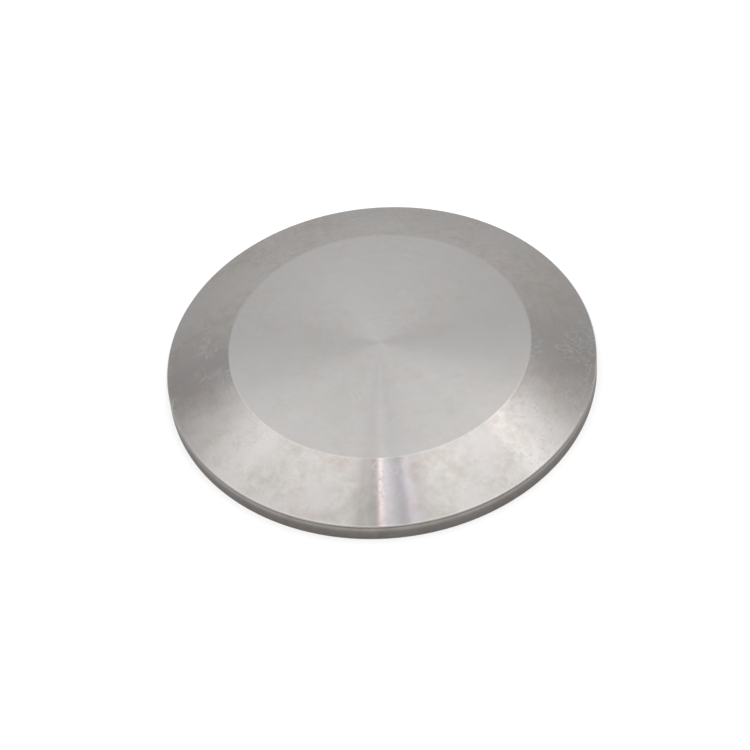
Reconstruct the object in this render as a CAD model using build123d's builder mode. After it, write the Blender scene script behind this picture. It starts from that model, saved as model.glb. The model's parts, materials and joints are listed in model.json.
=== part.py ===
from build123d import *

import os
from math import radians, sqrt, tan

# A solid end cap for a sanitary clamp joint, turned in one piece from stainless bar.
# It closes the end of a ferrule on a 2 inch tube: a gasket sits between the two faces,
# and a hinged clamp pulls their cones together. The cap lies on its sealing face, with
# its axis on Z, the lip of its rim on z = 0 and its blank back upwards.
# Lengths are in millimetres, and the angle is in degrees.

# The blank: a straight rim, the clamp's cone and a flat back
flange_diameter = 64.0
cap_thickness = 6.35
rim_height = 2.85
cone_angle = 20.0

# The gasket's seat, turned into the face
lip_width = 1.56
face_recess = 0.8
bead_radius = 2.3
bead_depth = 0.8

# Edges, rounded or broken by the turning tool
shoulder_round = 0.15
lip_round = 0.1
crest_round = 0.3
groove_edge_break = 0.15

flange_radius = flange_diameter / 2

# The cone falls from the back face to the top of the rim.
cone_rise = cap_thickness - rim_height
back_radius = flange_radius - cone_rise / tan(radians(cone_angle))

# The groove is an arc that goes bead_depth below the sealing face, which is itself
# face_recess below the lip. Its mouth at the lip ends lip_width in from the rim.
groove_bottom = face_recess + bead_depth
groove_centre_height = groove_bottom - bead_radius
groove_half_mouth = sqrt(bead_radius**2 - groove_centre_height**2)
groove_circle_radius = flange_radius - lip_width - groove_half_mouth


# The cap: half of its section is drawn beside the axis and turned round it.
with BuildPart() as end_cap:
    with BuildSketch(Plane.XZ) as half_section:
        with BuildLine():
            Polyline(
                (0, 0),
                (flange_radius, 0),
                (flange_radius, rim_height),
                (back_radius, cap_thickness),
                (0, cap_thickness),
                close=True,
            )
        make_face()

        # Sealing face, set back from the lip as far as the middle of the groove
        Rectangle(
            groove_circle_radius,
            face_recess,
            align=(Align.MIN, Align.MIN),
            mode=Mode.SUBTRACT,
        )

        # Round-bottomed groove for the gasket's bead
        with Locations((groove_circle_radius, groove_centre_height)):
            Circle(bead_radius, mode=Mode.SUBTRACT)
        groove = half_section.edges().filter_by(GeomType.CIRCLE)[0]
        chamfer(groove.vertices(), groove_edge_break)

        # Edges that a hand or the clamp meets
        shoulder = half_section.vertices().group_by(Axis.X)[-1].sort_by(Axis.Y)[-1]
        fillet(shoulder, shoulder_round)
        lip = half_section.vertices().group_by(Axis.Y)[0].sort_by(Axis.X)[-1]
        fillet(lip, lip_round)
        crest = half_section.vertices().group_by(Axis.Y)[-1].sort_by(Axis.X)[-1]
        fillet(crest, crest_round)
    revolve(axis=Axis.Z)

end_cap.part.label = "end_cap"
os.makedirs("parts", exist_ok=True)
export_step(end_cap.part, "parts/end_cap.step")
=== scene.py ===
import json
from math import acos, asin, cos, pi, radians, sin, tan

import bpy
from mathutils import Matrix, Vector


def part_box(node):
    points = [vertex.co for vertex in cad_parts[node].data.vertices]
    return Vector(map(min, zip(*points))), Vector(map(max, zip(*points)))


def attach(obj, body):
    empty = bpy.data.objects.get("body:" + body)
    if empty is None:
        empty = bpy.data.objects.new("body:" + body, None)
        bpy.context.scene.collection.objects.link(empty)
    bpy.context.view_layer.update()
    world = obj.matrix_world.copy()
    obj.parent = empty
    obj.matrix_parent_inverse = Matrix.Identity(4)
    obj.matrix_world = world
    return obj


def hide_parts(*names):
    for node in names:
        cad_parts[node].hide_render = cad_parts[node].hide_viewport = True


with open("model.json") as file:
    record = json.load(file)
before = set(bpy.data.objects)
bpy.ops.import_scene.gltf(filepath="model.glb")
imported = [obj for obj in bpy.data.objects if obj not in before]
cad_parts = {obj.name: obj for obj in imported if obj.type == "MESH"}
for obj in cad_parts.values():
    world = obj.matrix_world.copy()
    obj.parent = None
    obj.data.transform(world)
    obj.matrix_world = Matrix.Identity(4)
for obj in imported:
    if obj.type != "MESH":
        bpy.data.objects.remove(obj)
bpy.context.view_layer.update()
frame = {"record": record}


# ---------------------------------------------------------------------------
# THE CAP
# A solid disc of stainless steel, turned from bar in one piece. Its section is
# drawn beside the axis and swept round it, as the lathe does, and each turned
# surface is given its own finish. Lengths are in metres.
# ---------------------------------------------------------------------------

cap_low, cap_high = (Vector(corner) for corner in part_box("end_cap"))
mounts = {mount["name"]: mount for mount in frame["record"]["mounts"]}

thickness = cap_high.z - cap_low.z
flange_radius = mounts["rim"]["dims"]["r_mm"] / 1000
rim_height = 0.00285
cone_angle = radians(20)
back_radius = flange_radius - (thickness - rim_height) / tan(cone_angle)

face_recess = mounts["sealing_face"]["pos_m"][2]
bead_radius = 0.0023
groove_bottom = mounts["gasket_groove"]["pos_m"][2]
lip_width = 0.00156

crest_round = 0.0003
shoulder_round = 0.00015
lip_round = 0.0001
groove_edge_break = 0.00015

# How far past a rounding the shading is back to that of the flat beside it
settle = 0.00012
arc_step = radians(5)
sides = 480

BACK, CONE, RIM, SEAT = range(4)


class Section:
    """Half of a turned outline, as points with the surface that each edge belongs to."""

    def __init__(self, start, surface):
        self.points = [Vector(start)]
        self.edge_marks = [0.0]
        self.surfaces = []
        self.surface = surface

    def to(self, point, mark=0.0):
        """Cuts straight on to a point."""
        self.points.append(Vector(point))
        self.edge_marks.append(mark)
        self.surfaces.append(self.surface)

    def rounded(self, corner, beyond, radius, surface):
        """Cuts to a corner, rounds it and leaves towards the point beyond it."""
        corner = Vector(corner)
        into = (corner - self.points[-1]).normalized()
        out = (Vector(beyond) - corner).normalized()
        turn = acos(max(-1.0, min(1.0, into.dot(out))))
        reach = radius * tan(turn / 2)
        side = Vector((-into.y, into.x)) if into.cross(out) > 0 else Vector((into.y, -into.x))
        centre = corner - into * reach + side * radius
        first = -side
        steps = max(3, round(turn / arc_step))
        self.to(corner - into * (reach + settle))
        for step in range(steps + 1):
            angle = turn * step / steps
            self.to(centre + radius * (first * cos(angle) + into * sin(angle)), 1.0)
            if step == steps // 2:
                self.surface = surface
        self.to(corner + out * (reach + settle))

    def arc(self, centre, radius, start, end):
        """Cuts round an arc about a centre, from one angle to another."""
        steps = round(abs(end - start) / arc_step)
        for step in range(steps + 1):
            angle = start + (end - start) * step / steps
            self.to(Vector(centre) + radius * Vector((cos(angle), sin(angle))))


groove_height = groove_bottom - bead_radius
mouth_angle = asin(-groove_height / bead_radius)
groove_radius = flange_radius - lip_width - bead_radius * cos(mouth_angle)
inner_angle = pi - asin((face_recess - groove_height) / bead_radius)
groove_centre = (groove_radius, groove_height)
crest = (back_radius, thickness)
shoulder = (flange_radius, rim_height)
lip = (flange_radius, 0)
mouth = (flange_radius - lip_width, 0)
groove_inner = groove_radius + bead_radius * cos(inner_angle)
break_angle = groove_edge_break / bead_radius

section = Section((0, thickness), BACK)
section.rounded(crest, shoulder, crest_round, CONE)
section.rounded(shoulder, lip, shoulder_round, RIM)
section.rounded(lip, mouth, lip_round, SEAT)
section.to((mouth[0] + groove_edge_break, 0))
section.arc(groove_centre, bead_radius, mouth_angle + break_angle, inner_angle - break_angle)
section.to((groove_inner - groove_edge_break, face_recess))
section.to((0, face_recess))

half_section = bpy.data.meshes.new("half_section")
half_section.from_pydata(
    [(point.x, 0, point.y) for point in section.points],
    [(index, index + 1) for index in range(len(section.points) - 1)],
    [],
)
along = [0.0]
for before, after in zip(section.points, section.points[1:]):
    along.append(along[-1] + (after - before).length)
half_section.attributes.new("along", "FLOAT", "POINT").data.foreach_set("value", along)
half_section.attributes.new("edge_mark", "FLOAT", "POINT").data.foreach_set(
    "value", section.edge_marks
)
half_section.attributes.new("surface", "INT", "EDGE").data.foreach_set(
    "value", section.surfaces
)


def add(tree, kind, inputs=None, **settings):
    """Adds a node, sets its properties and gives its inputs values or links."""
    node = tree.nodes.new(kind)
    for name, value in settings.items():
        setattr(node, name, value)
    for key, value in (inputs or {}).items():
        if isinstance(value, bpy.types.NodeSocket):
            tree.links.new(value, node.inputs[key])
        else:
            node.inputs[key].default_value = value
    return node


def maths(tree, operation, *values):
    """A Math node's result."""
    return add(tree, "ShaderNodeMath", dict(enumerate(values)), operation=operation).outputs[0]


def lathe_tree():
    """Sweeps a half section round Z, closes the seam and poles, and finishes each surface."""
    tree = bpy.data.node_groups.new("lathe", "GeometryNodeTree")
    face = tree.interface
    face.new_socket("Geometry", in_out="INPUT", socket_type="NodeSocketGeometry")
    face.new_socket("Sides", in_out="INPUT", socket_type="NodeSocketInt")
    for name in ("Back Finish", "Cone Finish", "Rim Finish", "Seat Finish"):
        face.new_socket(name, in_out="INPUT", socket_type="NodeSocketMaterial")
    face.new_socket("Geometry", in_out="OUTPUT", socket_type="NodeSocketGeometry")
    start = add(tree, "NodeGroupInput")
    outline = start.outputs["Geometry"]
    count = add(
        tree, "GeometryNodeAttributeDomainSize", {"Geometry": outline}, component="MESH"
    ).outputs["Point Count"]
    index = add(tree, "GeometryNodeInputIndex").outputs[0]

    # A grid with one column for each side of the disc, and one row for each point
    around = maths(tree, "ADD", start.outputs["Sides"], 1)
    grid = add(tree, "GeometryNodeMeshGrid", {"Vertices X": around, "Vertices Y": count})
    column = maths(tree, "FLOOR", maths(tree, "DIVIDE", maths(tree, "ADD", index, 0.5), count))
    row = maths(tree, "SUBTRACT", index, maths(tree, "MULTIPLY", column, count))

    def sampled(data_type, domain, value, place):
        node = add(
            tree,
            "GeometryNodeSampleIndex",
            {"Geometry": outline, "Index": place},
            data_type=data_type,
            domain=domain,
        )
        tree.links.new(value, node.inputs["Value"])
        return node.outputs["Value"]

    def named(name, data_type):
        node = add(tree, "GeometryNodeInputNamedAttribute", data_type=data_type)
        node.inputs["Name"].default_value = name
        return node.outputs["Attribute"]

    # Swept clockwise, so that the faces look outward
    place = add(tree, "GeometryNodeInputPosition").outputs[0]
    turn = maths(tree, "MULTIPLY", maths(tree, "DIVIDE", column, start.outputs["Sides"]), -2 * pi)
    swept = add(
        tree,
        "ShaderNodeVectorRotate",
        {"Vector": sampled("FLOAT_VECTOR", "POINT", place, row), "Angle": turn},
        rotation_type="Z_AXIS",
    ).outputs[0]
    mesh = add(
        tree, "GeometryNodeSetPosition", {"Geometry": grid.outputs["Mesh"], "Position": swept}
    ).outputs[0]
    for name in ("along", "edge_mark"):
        mesh = add(
            tree,
            "GeometryNodeStoreNamedAttribute",
            {
                "Geometry": mesh,
                "Name": name,
                "Value": sampled("FLOAT", "POINT", named(name, "FLOAT"), row),
            },
            data_type="FLOAT",
            domain="POINT",
        ).outputs[0]
    bands = maths(tree, "SUBTRACT", count, 1)
    band_column = maths(
        tree, "FLOOR", maths(tree, "DIVIDE", maths(tree, "ADD", index, 0.5), bands)
    )
    band = maths(tree, "SUBTRACT", index, maths(tree, "MULTIPLY", band_column, bands))
    mesh = add(
        tree,
        "GeometryNodeStoreNamedAttribute",
        {
            "Geometry": mesh,
            "Name": "surface",
            "Value": sampled("INT", "EDGE", named("surface", "INT"), band),
        },
        data_type="INT",
        domain="FACE",
    ).outputs[0]
    mesh = add(tree, "GeometryNodeMergeByDistance", {"Geometry": mesh, "Distance": 1e-7}).outputs[0]
    mesh = add(tree, "GeometryNodeSetShadeSmooth", {"Geometry": mesh}).outputs[0]
    mesh = add(tree, "GeometryNodeRealizeInstances", {"Geometry": mesh}).outputs[0]
    for surface, name in enumerate(("Back Finish", "Cone Finish", "Rim Finish", "Seat Finish")):
        chosen = add(
            tree,
            "FunctionNodeCompare",
            {2: named("surface", "INT"), 3: surface},
            data_type="INT",
            operation="EQUAL",
        ).outputs[0]
        mesh = add(
            tree,
            "GeometryNodeSetMaterial",
            {"Geometry": mesh, "Selection": chosen, "Material": start.outputs[name]},
        ).outputs[0]
    end = add(tree, "NodeGroupOutput")
    tree.links.new(mesh, end.inputs["Geometry"])
    return tree


# --- Finishes of the turned steel ------------------------------------------


def group(name, inputs, outputs):
    """An empty shader node group with named sockets: (name, kind, default)."""
    tree = bpy.data.node_groups.new(name, "ShaderNodeTree")
    kinds = {"value": "NodeSocketFloat", "colour": "NodeSocketColor", "vector": "NodeSocketVector"}
    for socket, kind, default in inputs:
        made = tree.interface.new_socket(socket, in_out="INPUT", socket_type=kinds[kind])
        made.default_value = default
    for socket, kind in outputs:
        tree.interface.new_socket(socket, in_out="OUTPUT", socket_type=kinds[kind])
    return tree, add(tree, "NodeGroupInput"), add(tree, "NodeGroupOutput")


def vectors(tree, operation, *values):
    """A Vector Math node's first result."""
    node = add(tree, "ShaderNodeVectorMath", dict(enumerate(values)), operation=operation)
    return node.outputs[0]


def turning_group():
    """The scallops that a round-nosed tool leaves, one for each turn of the work.

    They run round the axis, so they spread a reflection along the section and not
    round it. Crown tips them outward by that many radians for each metre past Crown
    Middle, Waviness tips them here and there, and Tip adds the slopes of scratches.
    """
    tree, start, end = group(
        "turning_marks",
        [
            ("Feed", "value", 0.00012),
            ("Depth", "value", 0.1),
            ("Crown", "value", 0.0),
            ("Crown Middle", "value", 0.0),
            ("Unevenness", "value", 0.3),
            ("Waviness", "value", 0.0),
            ("Tip", "value", 0.0),
        ],
        [("Normal", "vector"), ("Tangent", "vector")],
    )
    along = add(tree, "ShaderNodeAttribute", attribute_name="along").outputs["Fac"]
    turns = maths(tree, "DIVIDE", along, start.outputs["Feed"])
    scallop = maths(tree, "SUBTRACT", maths(tree, "MULTIPLY", maths(tree, "FRACT", turns), 2), 1)
    wander = add(
        tree,
        "ShaderNodeTexNoise",
        {"W": maths(tree, "MULTIPLY", turns, 0.37), "Scale": 1.0, "Detail": 2.0},
        noise_dimensions="1D",
    ).outputs[0]
    wander = maths(tree, "SUBTRACT", wander, 0.5)
    uneven = maths(tree, "MULTIPLY", wander, start.outputs["Unevenness"])
    slope = maths(tree, "ADD", maths(tree, "MULTIPLY", scallop, start.outputs["Depth"]), uneven)
    past = maths(tree, "SUBTRACT", along, start.outputs["Crown Middle"])
    slope = maths(tree, "ADD", slope, maths(tree, "MULTIPLY", past, start.outputs["Crown"]))
    slope = maths(tree, "ADD", slope, start.outputs["Tip"])

    place = add(tree, "ShaderNodeTexCoord").outputs["Object"]
    worn = add(
        tree,
        "ShaderNodeTexNoise",
        {"Vector": place, "Scale": 260.0, "Detail": 4.0, "Roughness": 0.6},
    ).outputs[0]
    worn = maths(tree, "MULTIPLY", maths(tree, "SUBTRACT", worn, 0.5), start.outputs["Waviness"])
    slope = maths(tree, "ADD", slope, worn)
    normal = add(tree, "ShaderNodeNewGeometry").outputs["Normal"]
    circling = vectors(tree, "NORMALIZE", vectors(tree, "CROSS_PRODUCT", (0, 0, 1), place))
    outward = vectors(tree, "CROSS_PRODUCT", circling, normal)
    tipped = add(tree, "ShaderNodeVectorMath", {0: outward, "Scale": slope}, operation="SCALE")
    tilted = vectors(tree, "NORMALIZE", vectors(tree, "ADD", normal, tipped.outputs[0]))
    tree.links.new(tilted, end.inputs["Normal"])
    tree.links.new(circling, end.inputs["Tangent"])
    return tree


turning_marks = turning_group()


def soft_step(tree, value, low, high, first=0.0, last=1.0):
    """A value that passes smoothly from first to last as it goes from low to high."""
    return add(
        tree,
        "ShaderNodeMapRange",
        {
            "Value": value,
            "From Min": low,
            "From Max": high,
            "To Min": first,
            "To Max": last,
        },
        interpolation_type="SMOOTHSTEP",
    ).outputs["Result"]


def film_group():
    """Cloudy film left by handling: fine mottling in broad drifts, on a tone darker at the rim.

    Its hue drifts from pink to green. Shade is its darkening on clean metal, and
    Rim Shade darkens the whole tone towards the rim, with or without film.
    """
    tree, start, end = group(
        "cloudy_film",
        [
            ("Mottles per Metre", "value", 600.0),
            ("Shade", "value", 0.1),
            ("Rim Shade", "value", 0.0),
        ],
        [("Tone", "colour"), ("Film", "value")],
    )
    place = add(tree, "ShaderNodeTexCoord").outputs["Object"]
    fine = add(
        tree,
        "ShaderNodeTexNoise",
        {
            "Vector": place,
            "Scale": start.outputs["Mottles per Metre"],
            "Detail": 6.0,
            "Roughness": 0.65,
            "Distortion": 0.2,
        },
    ).outputs[0]
    beside = vectors(tree, "ADD", place, (0.034, 0.012, 0.02))
    broad = add(
        tree, "ShaderNodeTexNoise", {"Vector": beside, "Scale": 130.0, "Detail": 3.0}
    ).outputs[0]
    drifts = soft_step(tree, broad, 0.38, 0.62, 0.15, 1.0)
    film = maths(tree, "MULTIPLY", soft_step(tree, fine, 0.32, 0.68), drifts)
    shade = maths(tree, "MULTIPLY", film, start.outputs["Shade"])
    moved = vectors(tree, "ADD", place, (0.021, 0.005, 0.017))
    hue = add(
        tree, "ShaderNodeTexNoise", {"Vector": moved, "Scale": 200.0, "Detail": 3.0}
    ).outputs[0]
    red = maths(tree, "MULTIPLY", shade, soft_step(tree, hue, 0.38, 0.62, 0.75, 0.5))
    green = maths(tree, "MULTIPLY", shade, soft_step(tree, hue, 0.38, 0.62, 0.82, 0.95))
    blue = maths(tree, "MULTIPLY", shade, 1.2)
    channels = [maths(tree, "SUBTRACT", 1.0, loss) for loss in (red, green, blue)]
    tint = add(tree, "ShaderNodeCombineColor", dict(enumerate(channels))).outputs[0]

    flat_place = vectors(tree, "MULTIPLY", place, (1, 1, 0))
    radius = add(
        tree, "ShaderNodeVectorMath", {0: flat_place}, operation="LENGTH"
    ).outputs["Value"]
    # Darker towards the rim by Rim Shade, film or not
    outward = soft_step(tree, radius, back_radius, flange_radius)
    kept = maths(
        tree, "SUBTRACT", 1.0, maths(tree, "MULTIPLY", outward, start.outputs["Rim Shade"])
    )
    tone = add(tree, "ShaderNodeVectorMath", {0: tint, "Scale": kept}, operation="SCALE")
    tree.links.new(tone.outputs[0], end.inputs["Tone"])
    tree.links.new(film, end.inputs["Film"])
    return tree


def scuff_group():
    """Curling rubs that lie in loose patches. Each has a side that tips in and one out."""
    tree, start, end = group(
        "curling_rubs",
        [("Curls per Metre", "value", 330.0), ("Cover", "value", 0.5)],
        [("Rub", "value"), ("Tip", "value")],
    )
    place = add(tree, "ShaderNodeTexCoord").outputs["Object"]
    curl = add(
        tree,
        "ShaderNodeTexNoise",
        {
            "Vector": place,
            "Scale": start.outputs["Curls per Metre"],
            "Detail": 2.0,
            "Roughness": 0.5,
            "Distortion": 1.5,
        },
    ).outputs[0]
    off = maths(tree, "SUBTRACT", curl, 0.5)
    line = soft_step(tree, maths(tree, "ABSOLUTE", off), 0.005, 0.05, 1.0, 0.0)
    moved = vectors(tree, "ADD", place, (0.013, 0.031, 0.007))
    patch = add(
        tree, "ShaderNodeTexNoise", {"Vector": moved, "Scale": 150.0, "Detail": 3.0}
    ).outputs[0]
    edge = maths(tree, "SUBTRACT", 1.0, start.outputs["Cover"])
    patches = soft_step(tree, maths(tree, "SUBTRACT", patch, edge), 0.0, 0.12)
    rub = maths(tree, "MULTIPLY", line, patches)
    tip = maths(tree, "MULTIPLY", maths(tree, "SIGN", off), rub)
    tree.links.new(rub, end.inputs["Rub"])
    tree.links.new(tip, end.inputs["Tip"])
    return tree


def pit_group():
    """A few pinhead pits and bright specks, scattered singly."""
    tree, start, end = group(
        "pits",
        [
            ("Cells per Metre", "value", 160.0),
            ("Radius", "value", 0.00013),
            ("Share", "value", 0.4),
        ],
        [("Pit", "value"), ("Speck", "value")],
    )
    place = add(tree, "ShaderNodeTexCoord").outputs["Object"]
    cells = add(
        tree, "ShaderNodeTexVoronoi", {"Vector": place, "Scale": start.outputs["Cells per Metre"]}
    )
    far = maths(tree, "DIVIDE", cells.outputs["Distance"], start.outputs["Cells per Metre"])
    ratio = maths(tree, "DIVIDE", far, start.outputs["Radius"])
    dot = soft_step(tree, ratio, 0.5, 1.0, 1.0, 0.0)
    chance = add(tree, "ShaderNodeSeparateColor", {"Color": cells.outputs["Color"]}).outputs[0]
    dark = maths(tree, "LESS_THAN", chance, start.outputs["Share"])
    bright = maths(
        tree, "GREATER_THAN", chance, maths(tree, "SUBTRACT", 1.0, start.outputs["Share"])
    )
    tree.links.new(maths(tree, "MULTIPLY", dot, dark), end.inputs["Pit"])
    tree.links.new(maths(tree, "MULTIPLY", dot, bright), end.inputs["Speck"])
    return tree


def level_ramp(tree, value, stops):
    """A level, or a tint of (red, green, blue), that follows a list of (place, level) stops."""
    ramp = add(tree, "ShaderNodeValToRGB", {"Fac": value})
    colours = ramp.color_ramp.elements
    while len(colours) < len(stops):
        colours.new(0.5)
    for colour, (position, level) in zip(colours, stops):
        colour.position = position
        colour.color = (*level, 1) if isinstance(level, tuple) else (level, level, level, 1)
    return ramp.outputs["Color"]


cloudy_film = film_group()
curling_rubs = scuff_group()
pits = pit_group()


def placed(tree, node_tree, **values):
    """A shader group in a material, with its own values."""
    node = add(tree, "ShaderNodeGroup", node_tree=node_tree)
    for name, value in values.items():
        node.inputs[name.replace("_", " ")].default_value = value
    return node


def mixed(tree, share, first, last, blend="MIX"):
    """One colour or the other, or a mix by share."""
    node = add(tree, "ShaderNodeMix", data_type="RGBA", blend_type=blend)
    for socket, value in (("Factor_Float", share), ("A_Color", first), ("B_Color", last)):
        target = next(entry for entry in node.inputs if entry.identifier == socket)
        if isinstance(value, bpy.types.NodeSocket):
            tree.links.new(value, target)
        else:
            target.default_value = value
    return next(entry for entry in node.outputs if entry.identifier == "Result_Color")


def turned_steel(
    name, colour, burnish, roughness, anisotropy, veil, turning, film, rubs, holes, bands=None
):
    """Turned stainless with its handling marks. burnish is the colour of its rounded edges.

    veil is how far the film hides the metal, and bands are stops of brightness up the
    rim's height: painted reflection of the table, and painted shade darkest at its foot.
    """
    material = bpy.data.materials.new(name)
    material.use_nodes = True
    tree = material.node_tree
    tree.nodes.clear()
    clouds = placed(tree, cloudy_film, **film)
    scuffs = placed(tree, curling_rubs, **rubs)
    marks = placed(tree, turning_marks, **turning)
    tree.links.new(maths(tree, "MULTIPLY", scuffs.outputs["Tip"], rub_tip), marks.inputs["Tip"])
    dots = placed(tree, pits, **holes)
    edge = add(tree, "ShaderNodeAttribute", attribute_name="edge_mark").outputs["Fac"]
    tone = mixed(tree, 1.0, (*colour, 1), clouds.outputs["Tone"], "MULTIPLY")
    # Painted reflection and painted shade: the tone is scaled by levels up the rim's height
    if bands:
        spot = add(tree, "ShaderNodeTexCoord").outputs["Object"]
        level = add(tree, "ShaderNodeSeparateXYZ", {"Vector": spot}).outputs["Z"]
        share = maths(tree, "DIVIDE", level, rim_height)
        tone = mixed(tree, 1.0, tone, level_ramp(tree, share, bands), "MULTIPLY")
    tone = mixed(tree, maths(tree, "MULTIPLY", scuffs.outputs["Rub"], rub_paling), tone, light_rub)
    tone = mixed(tree, edge, tone, (*burnish, 1))
    tone = mixed(tree, maths(tree, "MULTIPLY", dots.outputs["Pit"], dot_cover), tone, pit_grey)
    tone = mixed(tree, maths(tree, "MULTIPLY", dots.outputs["Speck"], dot_cover), tone, light_rub)
    dull = maths(tree, "MULTIPLY", clouds.outputs["Film"], film_dulling)
    dull = maths(tree, "ADD", dull, maths(tree, "MULTIPLY", scuffs.outputs["Rub"], rub_dulling))
    hidden = maths(tree, "MULTIPLY", clouds.outputs["Film"], veil)
    hidden = maths(tree, "ADD", hidden, maths(tree, "MULTIPLY", scuffs.outputs["Rub"], rub_veil))
    steel = add(
        tree,
        "ShaderNodeBsdfPrincipled",
        {
            "Base Color": tone,
            "Metallic": maths(tree, "SUBTRACT", 1.0, hidden),
            "Roughness": maths(tree, "ADD", dull, roughness),
            "Anisotropic": anisotropy,
            "Anisotropic Rotation": 0.25,
            "Normal": marks.outputs["Normal"],
            "Tangent": marks.outputs["Tangent"],
        },
    )
    out = add(tree, "ShaderNodeOutputMaterial")
    tree.links.new(steel.outputs[0], out.inputs["Surface"])
    return material


light_rub = (0.85, 0.83, 0.81, 1)
pit_grey = (0.14, 0.13, 0.12, 1)
dot_cover = 0.7
film_dulling = 0.03

# What a rub does: the slope of its sides, its paling, its dulling and how it hides the metal
rub_tip = 0.05
rub_paling = 0.06
rub_dulling = 0.15
rub_veil = 0.1

faced_back = turned_steel(
    name="faced_back",
    colour=(0.603, 0.587, 0.577),
    burnish=(0.61, 0.60, 0.59),
    roughness=0.10,
    anisotropy=0.6,
    veil=0.03,
    turning={"Feed": 0.00012, "Depth": 0.2, "Crown": 2.4, "Unevenness": 0.05, "Waviness": 0.02},
    film={"Mottles_per_Metre": 400.0, "Shade": 0.05},
    rubs={"Curls_per_Metre": 300.0, "Cover": 0.4},
    holes={"Cells_per_Metre": 110.0, "Radius": 0.00014, "Share": 0.15},
)
turned_cone = turned_steel(
    name="turned_cone",
    colour=(0.632, 0.61, 0.597),
    burnish=(0.67, 0.65, 0.635),
    roughness=0.075,
    anisotropy=0.8,
    veil=0.12,
    turning={
        "Feed": 0.00012,
        "Depth": 0.07,
        "Crown": 1.0,
        "Crown_Middle": 0.0275,
        "Unevenness": 0.05,
        "Waviness": 0.07,
    },
    film={"Mottles_per_Metre": 600.0, "Shade": 0.17, "Rim_Shade": 0.1},
    rubs={"Curls_per_Metre": 480.0, "Cover": 0.6},
    holes={"Cells_per_Metre": 220.0, "Radius": 0.00014, "Share": 0.2},
)
rim_band = turned_steel(
    name="rim_band",
    colour=(0.86, 0.82, 0.79),
    burnish=(0.7, 0.67, 0.64),
    roughness=0.25,
    anisotropy=0.6,
    veil=0.05,
    turning={"Feed": 0.0002, "Depth": 0.12, "Unevenness": 0.1, "Waviness": 0.05},
    film={"Mottles_per_Metre": 450.0, "Shade": 0.2},
    rubs={"Curls_per_Metre": 330.0, "Cover": 0.4},
    holes={"Cells_per_Metre": 160.0, "Radius": 0.0001, "Share": 0.2},
    # Painted reflection and painted shade: darkest at the foot, lighter higher up, then a dark line
    # under a light top edge
    bands=(
        (0.0, 0.2),
        (0.06, 0.37),
        (0.5, 0.39),
        (0.62, 0.46),
        (0.72, 0.64),
        (0.83, 0.66),
        (0.89, 0.34),
        (0.94, 0.4),
        (0.97, 0.8),
    ),
)
gasket_seat = turned_steel(
    name="gasket_seat",
    colour=(0.64, 0.63, 0.62),
    burnish=(0.68, 0.665, 0.65),
    roughness=0.12,
    anisotropy=0.6,
    veil=0.03,
    turning={"Feed": 0.0001, "Depth": 0.08, "Unevenness": 0.05, "Waviness": 0.02},
    film={"Mottles_per_Metre": 400.0, "Shade": 0.06},
    rubs={"Curls_per_Metre": 300.0, "Cover": 0.4},
    holes={"Cells_per_Metre": 110.0, "Radius": 0.00012, "Share": 0.15},
)

blank = bpy.data.objects.new("half_section", half_section)
bpy.context.scene.collection.objects.link(blank)
lathe = blank.modifiers.new("lathe", "NODES")
lathe.node_group = lathe_tree()
settings = {
    "Sides": sides,
    "Back Finish": faced_back,
    "Cone Finish": turned_cone,
    "Rim Finish": rim_band,
    "Seat Finish": gasket_seat,
}
for socket in lathe.node_group.interface.items_tree:
    if socket.in_out == "INPUT" and socket.name in settings:
        lathe[socket.identifier] = settings[socket.name]

evaluated = blank.evaluated_get(bpy.context.evaluated_depsgraph_get())
turned_mesh = bpy.data.meshes.new_from_object(evaluated)
turned_mesh.name = "turned_cap"
turned_mesh.materials.pop(index=0)  # the empty slot that the lathe's grid came with
bpy.data.objects.remove(blank)
cap = bpy.data.objects.new("turned_cap", turned_mesh)
bpy.context.scene.collection.objects.link(cap)
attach(cap, "root")
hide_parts("end_cap")


# ---------------------------------------------------------------------------
# THE STUDIO
# A plain white table under a soft overhead light, with darker sides that the
# steel shows as its grey, and a camera that looks down on the cap.
# ---------------------------------------------------------------------------

floor_mesh = bpy.data.meshes.new("floor")
half_width = 3.0
floor_mesh.from_pydata(
    [
        (-half_width, -half_width, 0),
        (half_width, -half_width, 0),
        (half_width, half_width, 0),
        (-half_width, half_width, 0),
    ],
    [],
    [(0, 1, 2, 3)],
)
floor = bpy.data.objects.new("floor", floor_mesh)
bpy.context.scene.collection.objects.link(floor)
white = bpy.data.materials.new("white_table")
white.use_nodes = True
tree = white.node_tree
tree.nodes.clear()
path = add(tree, "ShaderNodeLightPath")
seen = path.outputs["Is Camera Ray"]
table_white = (0.8, 0.8, 0.8, 1)
camera_glow = 0.5  # only the camera sees it, so that it puts no light on the cap
paint = add(tree, "ShaderNodeBsdfDiffuse", {"Color": table_white})
glow = add(
    tree,
    "ShaderNodeEmission",
    {"Color": (1, 1, 1, 1), "Strength": maths(tree, "MULTIPLY", seen, camera_glow)},
)
both = add(tree, "ShaderNodeAddShader", {0: paint.outputs[0], 1: glow.outputs[0]})
out = add(tree, "ShaderNodeOutputMaterial")
tree.links.new(both.outputs[0], out.inputs["Surface"])
floor_mesh.materials.append(white)

# Soft light from above, fading to grey at the sides, with the slots between the panels
world = bpy.data.worlds.new("studio")
world.use_nodes = True
tree = world.node_tree
tree.nodes.clear()
direction = add(tree, "ShaderNodeTexCoord").outputs["Generated"]
apart = add(tree, "ShaderNodeSeparateXYZ", {"Vector": direction})
across, ahead, height = (apart.outputs[name] for name in "XYZ")

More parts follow.
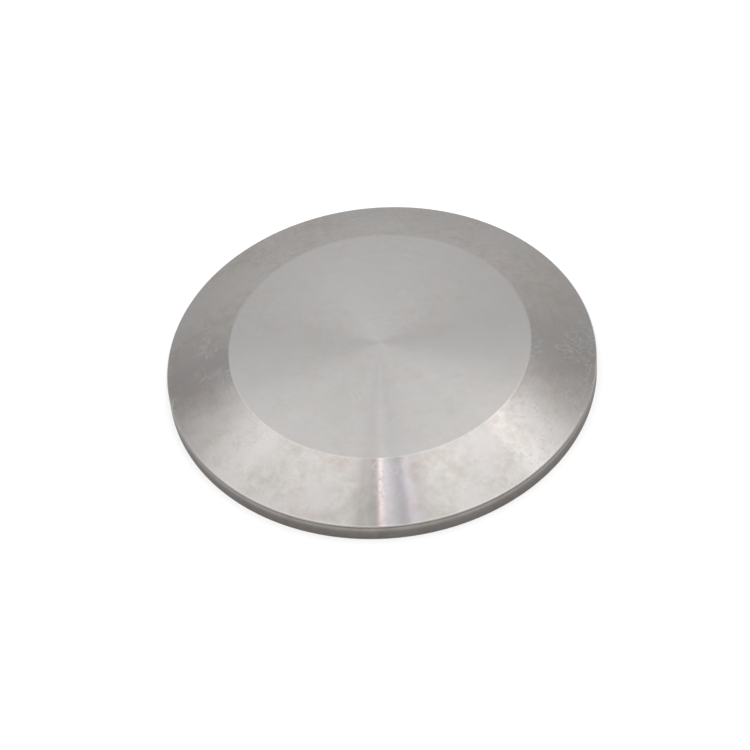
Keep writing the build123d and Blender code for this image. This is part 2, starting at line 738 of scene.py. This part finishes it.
# Two soft panels side by side, each as levels by height. The right one is the brighter.
left_panel = level_ramp(
    tree,
    height,
    (
        (0.0, 0.52),
        (0.14, 0.55),
        (0.27, 0.57),
        (0.36, 0.55),
        (0.46, 0.445),
        (0.57, 0.39),
        (0.62, 0.48),
        (0.68, 0.72),
        (0.74, 0.84),
        (0.79, 1.06),
        (0.88, 1.07),
        (0.94, 1.13),
        (0.97, 1.07),
        (1.0, 1.02),
    ),
)
right_panel = level_ramp(
    tree,
    height,
    (
        (0.0, 0.56),
        (0.14, 0.59),
        (0.27, 0.56),
        (0.36, 0.54),
        (0.46, 0.49),
        (0.57, 0.42),
        (0.62, 0.46),
        (0.68, 0.56),
        (0.74, 0.73),
        (0.785, 0.98),
        (0.84, 1.34),
        (0.875, 1.5),
        (0.91, 1.35),
        (0.94, 1.18),
        (0.98, 1.28),
        (1.0, 1.23),
    ),
)
towards_right = soft_step(tree, across, -0.5, 0.5)
ceiling = mixed(tree, towards_right, left_panel, right_panel)

# Slots and a tube between the panels, and faint streaks beside them. They fan out from a
# point beyond the cap, fan_back of the way from overhead to the horizon.
fan_back = 0.669
fan = add(
    tree,
    "ShaderNodeMath",
    {0: across, 1: maths(tree, "SUBTRACT", fan_back, ahead)},
    operation="ARCTAN2",
).outputs[0]


def fan_ramp(tree, fan, stops):
    """Levels or tints round the fan, from (degrees, level) stops."""
    first, last = radians(stops[0][0]), radians(stops[-1][0])
    share = add(tree, "ShaderNodeMapRange", {"Value": fan, "From Min": first, "From Max": last})
    places = [((radians(angle) - first) / (last - first), level) for angle, level in stops]
    return level_ramp(tree, share.outputs["Result"], places)


slots = fan_ramp(
    tree,
    fan,
    (
        (-16, 0.98),
        (-13, 0.93),
        (-10.2, 0.72),
        (-8.3, 0.74),
        (-6.4, 0.62),
        (-5.2, 0.62),
        (-4.5, (1.62, 1.4, 1.44)),
        (-4.1, (1.6, 1.4, 1.46)),
        (-3.4, (1.1, 1.07, 1.15)),
        (-2.6, (0.99, 0.98, 1.05)),
        (-0.5, (0.82, 0.82, 0.87)),
        (1.5, (0.66, 0.66, 0.7)),
        (2.8, (0.67, 0.66, 0.71)),
        (4.4, (0.95, 0.93, 1.0)),
        (5.8, (0.96, 0.93, 0.99)),
        (7.2, (0.84, 0.83, 0.86)),
        (9, 0.87),
        (12, 0.97),
        (16, 1.0),
    ),
)
streaks = fan_ramp(
    tree,
    fan,
    (
        (-58, 1.0),
        (-50, 1.1),
        (-44, 1.0),
        (30, 1.0),
        (38, 0.9),
        (45, 1.03),
        (51, 0.92),
        (60, 1.0),
    ),
)
# Each fades in over its own range of heights, towards the overhead
shade = ceiling
for levels, low, high in ((slots, 0.86, 0.96), (streaks, 0.78, 0.88)):
    overhead = soft_step(tree, height, low, high)
    shade = mixed(tree, 1.0, shade, mixed(tree, overhead, (1, 1, 1, 1), levels), "MULTIPLY")
sky = add(tree, "ShaderNodeBackground", {"Color": shade})
out = add(tree, "ShaderNodeOutputWorld")
tree.links.new(sky.outputs[0], out.inputs["Surface"])
bpy.context.scene.world = world

# Camera, rolled a little, as a hand holds it
camera_distance = 0.384
camera_elevation = radians(48.0)
camera_roll = radians(5.9)
aim_right, aim_up = -0.00108, -0.00063
sensor_width = 36  # in millimetres, as the focal length is
focal_length = 123.2

to_camera = Vector((0, -cos(camera_elevation), sin(camera_elevation)))
level_right = Vector((1, 0, 0))
level_up = to_camera.cross(level_right)
right = level_right * cos(camera_roll) - level_up * sin(camera_roll)
up = level_up * cos(camera_roll) + level_right * sin(camera_roll)
lens = bpy.data.cameras.new("camera")
lens.sensor_width = sensor_width
lens.lens = focal_length
camera = bpy.data.objects.new("camera", lens)
bpy.context.scene.collection.objects.link(camera)
turned = Matrix((right, up, to_camera)).transposed()
camera.matrix_world = Matrix.Translation(
    to_camera * camera_distance + right * aim_right + up * aim_up
) @ turned.to_4x4()
bpy.context.scene.camera = camera
bpy.context.scene.view_settings.view_transform = "Standard"
